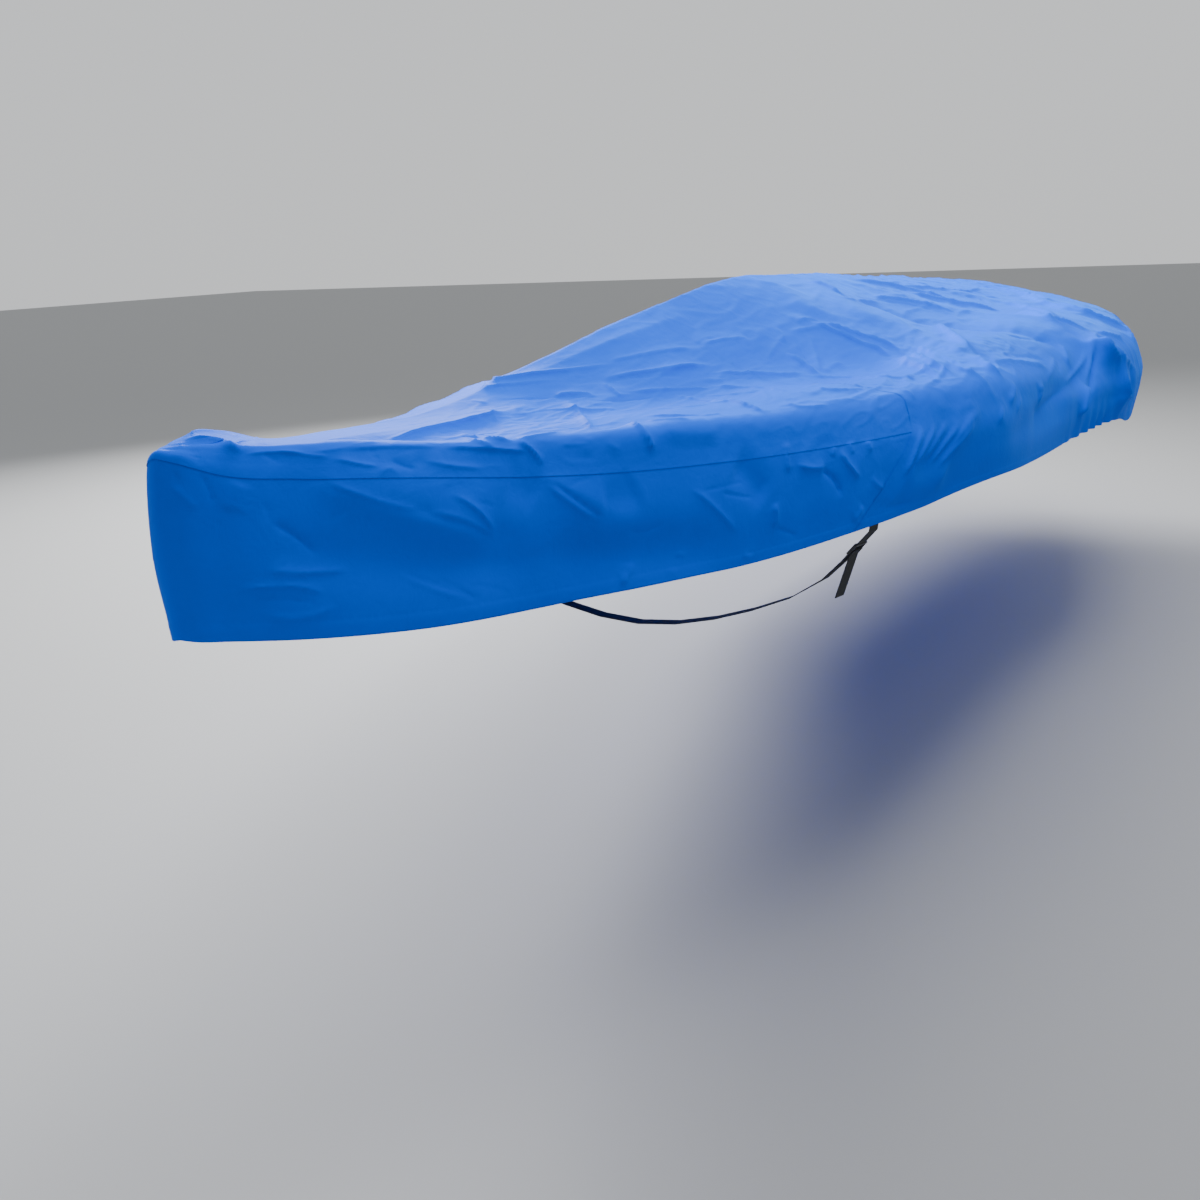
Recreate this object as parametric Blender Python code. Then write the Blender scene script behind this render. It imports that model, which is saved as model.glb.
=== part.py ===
"""Fitted top cover for an open sailing dinghy, as it hangs over the hull.

The cover is a hollow shell of thin proofed cloth, sewn from a bow deck panel,
a skirt that wraps round the stem, and one aft panel that falls over both
gunwales and the transom.  A webbing strap runs from the port hem through a
buckle, under the hull, and up to the starboard hem.

Everything is built from one smooth surface.  A row of SECTIONS describes one
rib of it, from the hem, up over the gunwale, to the ridge on the centre line.
Lengths are metres.  In the tables x runs aft from the bow, y is the distance
out from the centre line, and z is the height above the top of the bow.
"""
from collections import namedtuple

import bmesh
import bpy
import numpy as np
from mathutils import Matrix, Vector

# ---------------------------------------------------------------- sizes
SHEET = 0.0020              # thickness of the proofed cloth
SEAM_GAP = 0.0005           # gap between two cloths along their shared seam
CLEAR = 0.0003              # gap between pieces that touch
MOUNT_X = 1.90              # from the bow to the point that carries the ridge
STARBOARD_DROP = 0.020      # the starboard gunwale hangs a little lower

# the cross seam's place along the edge: at the hem, at the long seam and over the deck
SEAM_FOOT, SEAM_MIDDLE, SEAM_TOP = 1.12, 1.30, 1.325

# how far up a rib, from hem (0) to ridge (1), each named line lies
AT_HEM, AT_BELLY, AT_SEAM, AT_EDGE, AT_SHOULDER, AT_VALLEY, AT_RIDGE = (
    0.0, 0.14, 0.28, 0.36, 0.46, 0.72, 1.0)
SHOULDER_REACH = 0.16       # from edge to ridge, as a share of that distance
SHOULDER_RISE = 0.55        # of the height from the edge to the valley
EDGE_ROUND = 0.010          # how far the edge is drawn in by its rounding
SKIRT_BELLY = 0.008         # the skirt swells this far between seam and hem

NUDGE = 0.003               # step along the surface for reading its slope
SKIRT_STEPS = 4             # grid steps from hem to seam
DECK_STEPS = 12             # grid steps from seam to ridge
FIRST_DECK_STEP = 0.009     # a narrow extra step that keeps the seam's two edges in line
BOW_STEPS = 22              # ribs from the nose to the cross seam
AFT_STEPS = 52              # ribs from the cross seam to the middle of the transom

WEB_WIDTH = 0.025
WEB_THICK = 0.0016
STRAP_CELL = 0              # the flat of cloth, counted from the cross seam, it is sewn to
STRAP_SHARE = 0.80          # where in that flat it passes the hem
STRAP_RISE = 0.45           # how much of the flat's height the sewn end covers
STRAP_SLANT = 0.62          # forward in the flat for each unit up, so that it hangs plumb
STRAP_X = 1.130             # where the strap crosses under the hull
STRAP_OFF_CLOTH = 0.0009    # gap between the webbing and the cloth it is sewn to
STRAP_LEAN = 0.95           # inward for each unit down, along the topside
STRAP_TO_BUCKLE = 0.034     # from its knee to the buckle
TAIL_LENGTH = 0.078         # the free end below the buckle
TAIL_LEAN = 0.40            # inward for each unit down, of the free end
HEM_TURN = 0.012            # from the hem to the knee, where it leans in to the hull

BUCKLE_LENGTH = 0.026
BUCKLE_WIDTH = 0.034
BUCKLE_THICK = 0.005
SLOT_WIDTH = 0.027
SLOT_LENGTH = 0.005
SLOT_SPREAD = 0.0115        # between the middles of the two slots
BUCKLE_BEVEL = 0.0012

BLUE = (0.003, 0.110, 0.620, 1.0)
BLACK = (0.010, 0.011, 0.014, 1.0)

# ---------------------------------------------------------------- sections
Section = namedtuple(
    "Section", "edge_x edge_y edge_z seam_z hem_z hem_in valley valley_z ridge_x ridge_z")

SECTIONS = (
    Section(0.010, 0.000, 0.002, -0.003, -0.190, 0.013, 0.50, 0.005, 0.055, 0.010),
    Section(0.018, 0.018, 0.001, -0.008, -0.192, 0.011, 0.50, 0.006, 0.065, 0.012),
    Section(0.050, 0.042, -0.004, -0.024, -0.198, 0.008, 0.50, 0.000, 0.100, 0.006),
    Section(0.120, 0.075, -0.016, -0.040, -0.212, 0.000, 0.50, -0.012, 0.160, -0.012),
    Section(0.250, 0.125, -0.034, -0.062, -0.236, -0.004, 0.50, -0.028, 0.280, -0.021),
    Section(0.500, 0.215, -0.062, -0.102, -0.264, -0.005, 0.50, -0.046, 0.520, -0.024),
    Section(0.800, 0.335, -0.083, -0.131, -0.288, -0.002, 0.55, -0.062, 0.800, 0.008),
    Section(1.100, 0.450, -0.096, -0.148, -0.292, 0.000, 0.57, -0.066, 1.080, 0.042),
    Section(1.500, 0.580, -0.104, -0.160, -0.291, 0.008, 0.50, -0.078, 1.460, 0.082),
    Section(1.900, 0.650, -0.128, -0.178, -0.315, 0.016, 0.45, -0.052, 1.800, 0.097),
    Section(2.250, 0.690, -0.150, -0.200, -0.325, 0.012, 0.50, -0.044, 2.120, 0.088),
    Section(2.600, 0.765, -0.150, -0.215, -0.336, 0.010, 0.50, -0.050, 2.450, 0.076),
    Section(2.740, 0.779, -0.154, -0.219, -0.362, 0.010, 0.50, -0.054, 2.590, 0.068),
    Section(3.000, 0.795, -0.160, -0.225, -0.340, 0.018, 0.50, -0.060, 2.850, 0.052),
    Section(3.500, 0.755, -0.148, -0.215, -0.330, 0.040, 0.50, -0.060, 3.300, 0.030),
    Section(3.950, 0.675, -0.138, -0.205, -0.315, 0.050, 0.50, -0.062, 3.620, 0.014),
    Section(4.150, 0.590, -0.138, -0.200, -0.310, 0.044, 0.50, -0.060, 3.760, 0.004),
    Section(4.215, 0.510, -0.124, -0.200, -0.310, 0.036, 0.50, -0.054, 3.840, 0.001),
    Section(4.240, 0.270, -0.060, -0.170, -0.300, 0.030, 0.50, -0.026, 3.950, -0.003),
    Section(4.245, 0.000, -0.038, -0.160, -0.300, 0.030, 0.50, -0.012, 4.000, -0.006),
)

# A fold is a soft ridge (height > 0) or trough (height < 0) along a line.
# y is negative on the port side here.
Fold = namedtuple("Fold", "start end width height")

FOLDS = (
    # bow deck and the rise to the ridge, port
    Fold((0.14, -0.070, -0.023), (0.60, -0.080, -0.040), 0.024, 0.010),
    Fold((0.70, -0.020, -0.012), (1.27, -0.040, 0.038), 0.028, 0.008),
    Fold((0.65, -0.120, -0.050), (1.44, -0.140, 0.000), 0.032, 0.009),
    # pulled from the ridge to the port gunwale
    Fold((1.64, -0.180, 0.000), (1.52, -0.520, -0.095), 0.038, 0.013),
    Fold((2.10, -0.220, 0.000), (1.62, -0.560, -0.105), 0.038, 0.011),
    Fold((2.10, -0.190, 0.015), (2.32, -0.610, -0.105), 0.050, -0.015),
    Fold((2.40, -0.080, 0.050), (2.60, -0.680, -0.115), 0.050, 0.013),
    Fold((3.00, -0.100, 0.030), (3.35, -0.700, -0.130), 0.060, 0.012),
    Fold((3.50, -0.150, 0.000), (3.95, -0.580, -0.120), 0.060, -0.012),
    # the peak over the port gunwale, its pleat and the trough ahead of it
    Fold((2.49, -0.690, -0.130), (2.55, -0.735, -0.150), 0.050, 0.036),
    Fold((2.58, -0.750, -0.150), (2.52, -0.765, -0.330), 0.036, 0.020),
    Fold((2.42, -0.720, -0.160), (1.80, -0.640, -0.210), 0.045, -0.018),
    Fold((2.78, -0.790, -0.180), (2.72, -0.790, -0.330), 0.045, -0.012),
    # skirt and side, port
    Fold((0.18, -0.104, -0.070), (0.38, -0.180, -0.160), 0.030, -0.007),
    Fold((0.44, -0.194, -0.100), (0.56, -0.240, -0.175), 0.028, 0.006),
    Fold((1.25, -0.505, -0.150), (1.13, -0.465, -0.260), 0.028, 0.007),
    Fold((1.42, -0.560, -0.140), (1.24, -0.505, -0.270), 0.030, 0.007),
    # starboard
    Fold((1.60, 0.140, 0.010), (1.85, 0.480, -0.110), 0.045, 0.009),
    Fold((1.95, 0.180, 0.010), (2.05, 0.640, -0.150), 0.050, -0.012),
    Fold((2.35, 0.120, 0.040), (2.60, 0.700, -0.150), 0.055, 0.013),
    Fold((2.95, 0.150, 0.010), (3.40, 0.700, -0.150), 0.055, -0.012),
    Fold((3.40, 0.150, 0.005), (3.90, 0.620, -0.140), 0.055, 0.010),
    Fold((2.10, 0.690, -0.180), (2.00, 0.665, -0.320), 0.035, 0.012),
    Fold((2.85, 0.795, -0.190), (2.90, 0.790, -0.345), 0.040, -0.012),
    Fold((3.60, 0.745, -0.180), (3.55, 0.720, -0.330), 0.040, 0.012),
    Fold((0.55, 0.235, -0.120), (0.80, 0.335, -0.220), 0.032, -0.007),
    # transom
    Fold((4.12, -0.560, -0.120), (4.19, -0.540, -0.300), 0.035, 0.016),
    Fold((4.24, -0.230, -0.080), (4.23, -0.180, -0.290), 0.040, -0.012),
    Fold((4.24, 0.120, -0.070), (4.23, 0.180, -0.290), 0.040, 0.012),
    Fold((4.14, 0.560, -0.140), (4.19, 0.540, -0.310), 0.035, 0.014),
)

# The strap's way under the hull, port to starboard: distance out and height.
StrapPoint = namedtuple("StrapPoint", "y z")

UNDER_HULL = (
    StrapPoint(-0.350, -0.402),
    StrapPoint(-0.290, -0.440),
    StrapPoint(-0.220, -0.468),
    StrapPoint(-0.150, -0.490),
    StrapPoint(-0.075, -0.506),
    StrapPoint(0.000, -0.512),
    StrapPoint(0.075, -0.506),
    StrapPoint(0.150, -0.490),
    StrapPoint(0.220, -0.470),
    StrapPoint(0.290, -0.446),
    StrapPoint(0.350, -0.416),
    StrapPoint(0.400, -0.378),
)

PORT, STARBOARD = -1, 1


# ---------------------------------------------------------------- surface
def hermite(knots, values, at):
    """Smooth curve through values at knots, read at the places in at."""
    slopes = np.gradient(values, knots, axis=0)
    index = np.clip(np.searchsorted(knots, at, side="right") - 1, 0, len(knots) - 2)
    span = knots[index + 1] - knots[index]
    f = (at - knots[index]) / span
    shape = (-1,) + (1,) * (values.ndim - 1)
    f = f.reshape(shape)
    span = span.reshape(shape)
    return ((2 * f**3 - 3 * f**2 + 1) * values[index]
            + (f**3 - 2 * f**2 + f) * span * slopes[index]
            + (3 * f**2 - 2 * f**3) * values[index + 1]
            + (f**3 - f**2) * span * slopes[index + 1])


def mirrored_sections():
    """The sections with one more beyond each end, mirrored in the centre line."""
    rows = np.array(SECTIONS)
    beyond = rows[[1, -2]].copy()
    beyond[:, 1] *= -1
    return np.vstack((beyond[:1], rows, beyond[1:]))


TABLE = mirrored_sections()
STEP_LENGTHS = np.hypot(np.diff(TABLE[:, 0]), np.diff(TABLE[:, 1]))
ALONG = np.concatenate(([0.0], np.cumsum(STEP_LENGTHS))) - STEP_LENGTHS[0]
EDGE_LENGTH = ALONG[-2]


def rib_points(side, along):
    """The seven named points of each rib, as an array (ribs, 7, 3)."""
    row = Section(*hermite(ALONG, TABLE, along).T)
    drop = STARBOARD_DROP * (side == STARBOARD) * np.clip(row.edge_y / 0.2, 0, 1)
    edge = np.stack((row.edge_x, row.edge_y), axis=1)
    inward = np.stack((row.ridge_x - row.edge_x, -row.edge_y), axis=1)
    reach = np.linalg.norm(inward, axis=1)
    unit = inward / reach[:, None]

    def point(distance, height):
        plan = edge + unit * np.asarray(distance)[:, None]
        return np.column_stack((plan[:, 0], side * plan[:, 1], height))

    zero = np.zeros_like(reach)
    shoulder_z = row.edge_z + SHOULDER_RISE * (row.valley_z - row.edge_z)
    belly_z = (row.seam_z + row.hem_z) / 2
    return np.stack((
        point(row.hem_in, row.hem_z - drop),
        point(row.hem_in / 2 - SKIRT_BELLY, belly_z - drop),
        point(zero, row.seam_z - drop),
        point(zero + EDGE_ROUND, row.edge_z - drop),
        point(EDGE_ROUND + reach * SHOULDER_REACH, shoulder_z - drop),
        point(reach * row.valley, row.valley_z - drop / 2),
        point(reach, row.ridge_z),
    ), axis=1)


UP_THE_RIB = np.array((AT_HEM, AT_BELLY, AT_SEAM, AT_EDGE, AT_SHOULDER, AT_VALLEY, AT_RIDGE))


def plain_surface(side, along, up):
    """Points of the unfolded cloth for matching arrays of places along and up."""
    named = rib_points(side, along)
    points = np.empty((len(along), 3))
    for height in np.unique(up):
        here = up == height
        ribs = np.swapaxes(named[here], 0, 1)
        points[here] = hermite(UP_THE_RIB, ribs, np.array([height]))[0]
    return points


def fold_height(points):
    """How far the folds push the cloth out at each point."""
    total = np.zeros(len(points))
    for fold in FOLDS:
        start = np.array(fold.start)
        run = np.array(fold.end) - start
        share = np.clip((points - start) @ run / (run @ run), 0, 1)
        distance = np.linalg.norm(points - start - share[:, None] * run, axis=1)
        fade = np.sin(np.pi * np.clip(0.15 + 0.7 * share, 0, 1))
        total += fold.height * fade * np.exp(-(distance / fold.width) ** 2)
    return total


# ---------------------------------------------------------------- placing
RIDGE_AT_MOUNT = plain_surface(
    PORT, np.array([np.interp(MOUNT_X, TABLE[:, 8], ALONG)]), np.array([AT_RIDGE]))[0][2]
ORIGIN = np.array((MOUNT_X, 0.0, RIDGE_AT_MOUNT - SHEET / 2))


def material(name, colour, roughness):
    """A plain material with the piece's colour."""
    made = bpy.data.materials.new(name)
    made.use_nodes = True
    shader = made.node_tree.nodes["Principled BSDF"]
    shader.inputs["Base Color"].default_value = colour
    shader.inputs["Roughness"].default_value = roughness
    shader.inputs["Metallic"].default_value = 0.0
    made.diffuse_color = colour
    return made


def add_object(name, mesh, finish, parent):
    """Put a mesh in the scene under the cover's empty."""
    mesh.materials.append(finish)
    made = bpy.data.objects.new(name, mesh)
    bpy.context.scene.collection.objects.link(made)
    made.parent = parent
    return made


def sheet_mesh(name, points, across):
    """A grid of quads from rows of points, with doubled points merged."""
    mesh = bpy.data.meshes.new(name)
    rows = len(points) // across
    faces = [
        (i * across + j, (i + 1) * across + j, (i + 1) * across + j + 1, i * across + j + 1)
        for i in range(rows - 1) for j in range(across - 1)]
    mesh.from_pydata([tuple(p) for p in points], [], faces)
    work = bmesh.new()
    work.from_mesh(mesh)
    bmesh.ops.remove_doubles(work, verts=work.verts, dist=1e-6)
    bmesh.ops.recalc_face_normals(work, faces=work.faces)
    highest = max(work.faces, key=lambda face: face.calc_center_median().z)
    if highest.normal.z < 0:
        bmesh.ops.reverse_faces(work, faces=work.faces)
    work.to_mesh(mesh)
    work.free()
    mesh.shade_smooth()
    return mesh


def cross_seam(up):
    """How far along the edge the cross seam lies at each height of a rib."""
    return np.interp(up, (AT_HEM, AT_SEAM, AT_EDGE), (SEAM_FOOT, SEAM_MIDDLE, SEAM_TOP))


def folded_surface(side, along, up):
    """Points of the folded cloth, for grids of places along and up."""
    shape = along.shape + (3,)
    along, up = along.ravel(), up.ravel()
    points = plain_surface(side, along, up)
    ahead = plain_surface(side, along + NUDGE, up) - plain_surface(side, along - NUDGE, up)
    past_ridge = up + NUDGE > AT_RIDGE
    above = plain_surface(side, along, np.where(past_ridge, 2 * AT_RIDGE - up - NUDGE, up + NUDGE))
    above[past_ridge, 1] *= -1
    below = plain_surface(side, along, up - NUDGE)
    normal = np.cross(ahead, above - below) * -side
    normal /= np.maximum(np.linalg.norm(normal, axis=1, keepdims=True), 1e-12)
    return (points + normal * fold_height(points)[:, None]).reshape(shape)


def joined_halves(along, up):
    """A grid from the port side over the ridge to the starboard side."""
    port = folded_surface(PORT, along, up)
    starboard = folded_surface(STARBOARD, along, up)
    return np.concatenate((port, starboard[:, -2::-1]), axis=1)


def cloth(name, points, finish, parent):
    """A closed sheet of cloth from a grid of its middle surface."""
    mesh = sheet_mesh(name, (points - ORIGIN).reshape(-1, 3), points.shape[1])
    made = add_object(name, mesh, finish, parent)
    solid = made.modifiers.new("cloth thickness", "SOLIDIFY")
    solid.thickness = SHEET
    solid.offset = 0.0
    solid.use_rim = True
    return made


def skirt_ups(gap):
    """Places up the rib from the hem to just under the seam."""
    return np.linspace(AT_HEM, AT_SEAM - gap, SKIRT_STEPS + 1)


def deck_ups(gap):
    """Places up the rib from just over the seam to the ridge, closer at the edge."""
    share = np.linspace(0, 1, DECK_STEPS + 1) ** 1.35
    share = np.insert(share, 1, FIRST_DECK_STEP)
    return AT_SEAM + gap + (AT_RIDGE - AT_SEAM - gap) * share


def add_bow_deck(finish, parent):
    """The deck panel from the nose to the cross seam."""
    gap = SEAM_GAP / 2
    up = deck_ups(gap / 0.35)
    share = np.linspace(0, 1, BOW_STEPS + 1)[:, None] ** 1.25
    along = share * (cross_seam(up) - gap)[None, :]
    return cloth("bow_deck", joined_halves(along, up[None, :] + 0 * along), finish, parent)


def add_bow_skirt(finish, parent):
    """The skirt from the port end of the cross seam, round the stem, to starboard."""
    gap = SEAM_GAP / 2
    up = skirt_ups(gap / 0.35)
    share = np.linspace(0, 1, BOW_STEPS + 1)[:, None] ** 1.25
    along = share * (cross_seam(up) - gap)[None, :]
    ups = up[None, :] + 0 * along
    port = folded_surface(PORT, along, ups)
    starboard = folded_surface(STARBOARD, along, ups)
    points = np.concatenate((port[::-1], starboard[1:]), axis=0)
    return cloth("bow_skirt", points, finish, parent)


def aft_points():
    """The aft panel's grid, from hem to hem and over the transom."""
    up = np.concatenate((skirt_ups(0.0), deck_ups(0.0)[1:]))
    share = np.linspace(0, 1, AFT_STEPS + 1)[:, None]
    start = (cross_seam(up) + SEAM_GAP / 2)[None, :]
    along = start + share * (EDGE_LENGTH - start)
    return joined_halves(along, up[None, :] + 0 * along)


# ---------------------------------------------------------------- strap
def ribbon(name, middles, wide, finish, parent):
    """A webbing strip along a list of points; wide gives its width direction at each."""
    middles = [Vector(point) for point in middles]
    work = bmesh.new()
    rings = []
    for i, middle in enumerate(middles):
        ahead = middles[min(i + 1, len(middles) - 1)] - middles[max(i - 1, 0)]
        across = Vector(wide[i])
        across = (across - across.project(ahead)).normalized()
        face = ahead.normalized().cross(across)
        half = across * WEB_WIDTH / 2
        thick = face * WEB_THICK / 2
        corners = (half + thick, half - thick, -half - thick, -half + thick)
        rings.append([work.verts.new(middle + corner) for corner in corners])
    for ring, following in zip(rings, rings[1:]):
        for j in range(4):
            k = (j + 1) % 4
            work.faces.new((ring[j], ring[k], following[k], following[j]))
    work.faces.new(rings[0])
    work.faces.new(reversed(rings[-1]))
    bmesh.ops.recalc_face_normals(work, faces=work.faces)
    mesh = bpy.data.meshes.new(name)
    work.to_mesh(mesh)
    work.free()
    return add_object(name, mesh, finish, parent)


def sewn_end(side):
    """The webbing's end inside the hem: its top and its place at the hem, each
    with the width direction there."""
    cell = aft_points()[STRAP_CELL:STRAP_CELL + 2]
    cell = cell[:, :2] if side == PORT else cell[:, :-3:-1]

    def on_flat(share, rise):
        low = Vector(cell[0, 0]).lerp(Vector(cell[1, 0]), share)
        return low.lerp(Vector(cell[0, 1]).lerp(Vector(cell[1, 1]), share), rise)

    hem = on_flat(STRAP_SHARE, 0)
    top = on_flat(STRAP_SHARE - STRAP_SLANT * STRAP_RISE, STRAP_RISE)
    ends = []
    for rise, place in ((STRAP_RISE, top), (0, hem)):
        wide = (on_flat(1, rise) - on_flat(0, rise)).normalized()
        inward = wide.cross(top - hem).normalized()
        if inward.y * side > 0:
            inward.negate()
        away = inward * (SHEET / 2 + STRAP_OFF_CLOTH + WEB_THICK / 2)
        ends += [place + away - Vector(ORIGIN), wide]
    return ends


def add_strap(webbing, plastic, parent):
    """The port strap, its buckle and free end, and the strap under the hull."""
    top, top_wide, hem, wide = sewn_end(PORT)
    level = Vector((wide.y, -wide.x, 0)).normalized()
    if level.y < 0:
        level.negate()
    down = (level * STRAP_LEAN + Vector((0, 0, -1))).normalized()
    knee = hem + (hem - top).normalized() * HEM_TURN
    buckle_top = knee + down * STRAP_TO_BUCKLE
    buckle_middle = buckle_top + down * (BUCKLE_LENGTH / 2)
    buckle_foot = buckle_top + down * BUCKLE_LENGTH

    points = [top, hem, knee, buckle_top - down * CLEAR]
    ribbon("strap_port", points, [top_wide, wide, wide, wide], webbing, parent)

    add_buckle(buckle_middle, wide, down, plastic, parent)

    outward = wide.cross(down).normalized()
    if outward.dot(level) > 0:
        outward.negate()
    stand_off = BUCKLE_THICK / 2 + CLEAR + WEB_THICK / 2
    tail = [buckle_middle + outward * stand_off]
    tail.append(buckle_foot + outward * stand_off)
    for share in (0.3, 0.6, 1.0):
        drop = (level * TAIL_LEAN + Vector((0, 0, -1))) * (TAIL_LENGTH * share)
        tail.append(buckle_foot + outward * stand_off + drop)
    ribbon("strap_tail", tail, [wide] * len(tail), webbing, parent)

    far_top, far_top_wide, far_hem, far_wide = sewn_end(STARBOARD)
    knots = [buckle_foot + down * CLEAR, buckle_foot + down * 0.02]
    knots += [Vector((STRAP_X, p.y, p.z)) - Vector(ORIGIN) for p in UNDER_HULL]
    knots += [far_hem + (far_hem - far_top).normalized() * HEM_TURN, far_hem, far_top]
    turn = np.linspace(0, 1, len(knots))
    wides = [wide.lerp(far_wide, share).normalized() for share in turn]
    wides[-3:] = [far_wide, far_wide, far_top_wide]
    ribbon("strap_under", knots, wides, webbing, parent)


def add_buckle(middle, wide, down, finish, parent):
    """A ladder-lock buckle: a rounded plate with two slots."""
    outward = wide.cross(down).normalized()
    turn = Matrix((wide, down, outward)).transposed().to_4x4()
    place = Matrix.Translation(middle) @ turn
    mesh = box_mesh("strap_buckle", (BUCKLE_WIDTH, BUCKLE_LENGTH, BUCKLE_THICK))
    buckle = add_object("strap_buckle", mesh, finish, parent)
    buckle.matrix_world = place
    bevel = buckle.modifiers.new("rounded", "BEVEL")
    bevel.width = BUCKLE_BEVEL
    bevel.segments = 2
    for sign in (-1, 1):
        cutter_mesh = box_mesh("slot", (SLOT_WIDTH, SLOT_LENGTH, BUCKLE_THICK * 3))
        cutter = bpy.data.objects.new("slot", cutter_mesh)
        bpy.context.scene.collection.objects.link(cutter)
        cutter.matrix_world = place @ Matrix.Translation((0, sign * SLOT_SPREAD / 2, 0))
        cutter.hide_render = True
        cutter.display_type = "WIRE"
        cut = buckle.modifiers.new("slot", "BOOLEAN")
        cut.object = cutter
        cut.operation = "DIFFERENCE"


def box_mesh(name, size):
    """A box about its own middle."""
    work = bmesh.new()
    bmesh.ops.create_cube(work, size=1.0)
    bmesh.ops.scale(work, vec=size, verts=work.verts)
    mesh = bpy.data.meshes.new(name)
    work.to_mesh(mesh)
    work.free()
    return mesh


# ---------------------------------------------------------------- main
def clear_scene():
    """Remove whatever the scene holds."""
    for old in list(bpy.data.objects):
        bpy.data.objects.remove(old, do_unlink=True)


def build():
    """Build every piece of the cover."""
    clear_scene()
    cover = bpy.data.objects.new("cover", None)
    bpy.context.scene.collection.objects.link(cover)
    blue_cloth = material("cover_cloth", BLUE, 0.55)
    webbing = material("webbing", BLACK, 0.8)
    plastic = material("buckle_plastic", BLACK, 0.4)
    add_bow_deck(blue_cloth, cover)
    add_bow_skirt(blue_cloth, cover)
    cloth("aft_panel", aft_points(), blue_cloth, cover)
    add_strap(webbing, plastic, cover)


build()
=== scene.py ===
"""A blue fitted boat cover, dressed for its picture.

The cloth panels repeat the solids' own surface, from the same sections and
folds, on a finer grid.  The creases are placed one by one, each from marks read
off the photograph, and pressed into that surface as soft ridges and troughs.
Lengths are metres.  In the section and fold tables x runs aft from the bow,
y is the distance from the centre line and z the height above the bow's top.
"""
from collections import namedtuple

import bmesh
import bpy
import numpy as np
from mathutils import Matrix, Vector, noise
from mathutils.bvhtree import BVHTree


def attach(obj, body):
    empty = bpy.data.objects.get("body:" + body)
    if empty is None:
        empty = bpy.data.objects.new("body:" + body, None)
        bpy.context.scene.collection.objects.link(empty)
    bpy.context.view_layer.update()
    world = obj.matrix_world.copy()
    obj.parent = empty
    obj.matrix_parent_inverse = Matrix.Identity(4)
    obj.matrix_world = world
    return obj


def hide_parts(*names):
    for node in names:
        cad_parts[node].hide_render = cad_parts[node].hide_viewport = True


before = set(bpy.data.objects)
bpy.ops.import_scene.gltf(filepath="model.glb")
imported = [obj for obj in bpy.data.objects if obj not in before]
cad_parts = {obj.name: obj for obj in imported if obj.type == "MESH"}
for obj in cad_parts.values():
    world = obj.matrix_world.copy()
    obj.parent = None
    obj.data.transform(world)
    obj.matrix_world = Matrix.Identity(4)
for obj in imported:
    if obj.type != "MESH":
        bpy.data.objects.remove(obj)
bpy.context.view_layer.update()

# ---------------------------------------------------------------- sizes
SHEET = 0.0020              # thickness of the solids' cloth
MOUNT_X = 1.90              # from the bow to the origin under the ridge
STARBOARD_DROP = 0.020      # the starboard gunwale hangs a little lower
# the cross seam's place along the edge: at the hem, at the long seam and over the deck
SEAM_FOOT, SEAM_MIDDLE, SEAM_TOP = 1.12, 1.30, 1.325

AT_HEM, AT_BELLY, AT_SEAM, AT_EDGE, AT_SHOULDER, AT_VALLEY, AT_RIDGE = (
    0.0, 0.14, 0.28, 0.36, 0.46, 0.72, 1.0)
SHOULDER_REACH = 0.16       # from edge to ridge, as a share of that distance
SHOULDER_RISE = 0.55        # of the height from the edge to the valley
EDGE_ROUND = 0.010          # how far the edge is drawn in by its rounding
SOFT_EDGE_IN, SOFT_EDGE_DOWN = 0.016, 0.005     # the edge is rounder past the bow
SOFT_EDGE_FROM, SOFT_EDGE_OVER = 0.6, 0.6       # where aft it begins, and over what length
SKIRT_BELLY = 0.008         # the skirt swells this far between seam and hem
DROP_OVER = 0.2             # beam over which the starboard drop comes in
NUDGE = 0.003               # step along the surface for reading its slope
SMALLEST = 1e-12            # guards a division
FOLD_POWER = 1.2            # 2 is a round fold, 1 a tent
FOLD_END = 0.15             # a fold fades as a half wave with this share cut off each end
PORT, STARBOARD = -1, 1

# ---------------------------------------------------------------- sections
Section = namedtuple(
    "Section", "edge_x edge_y edge_z seam_z hem_z hem_in valley valley_z ridge_x ridge_z")

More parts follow.
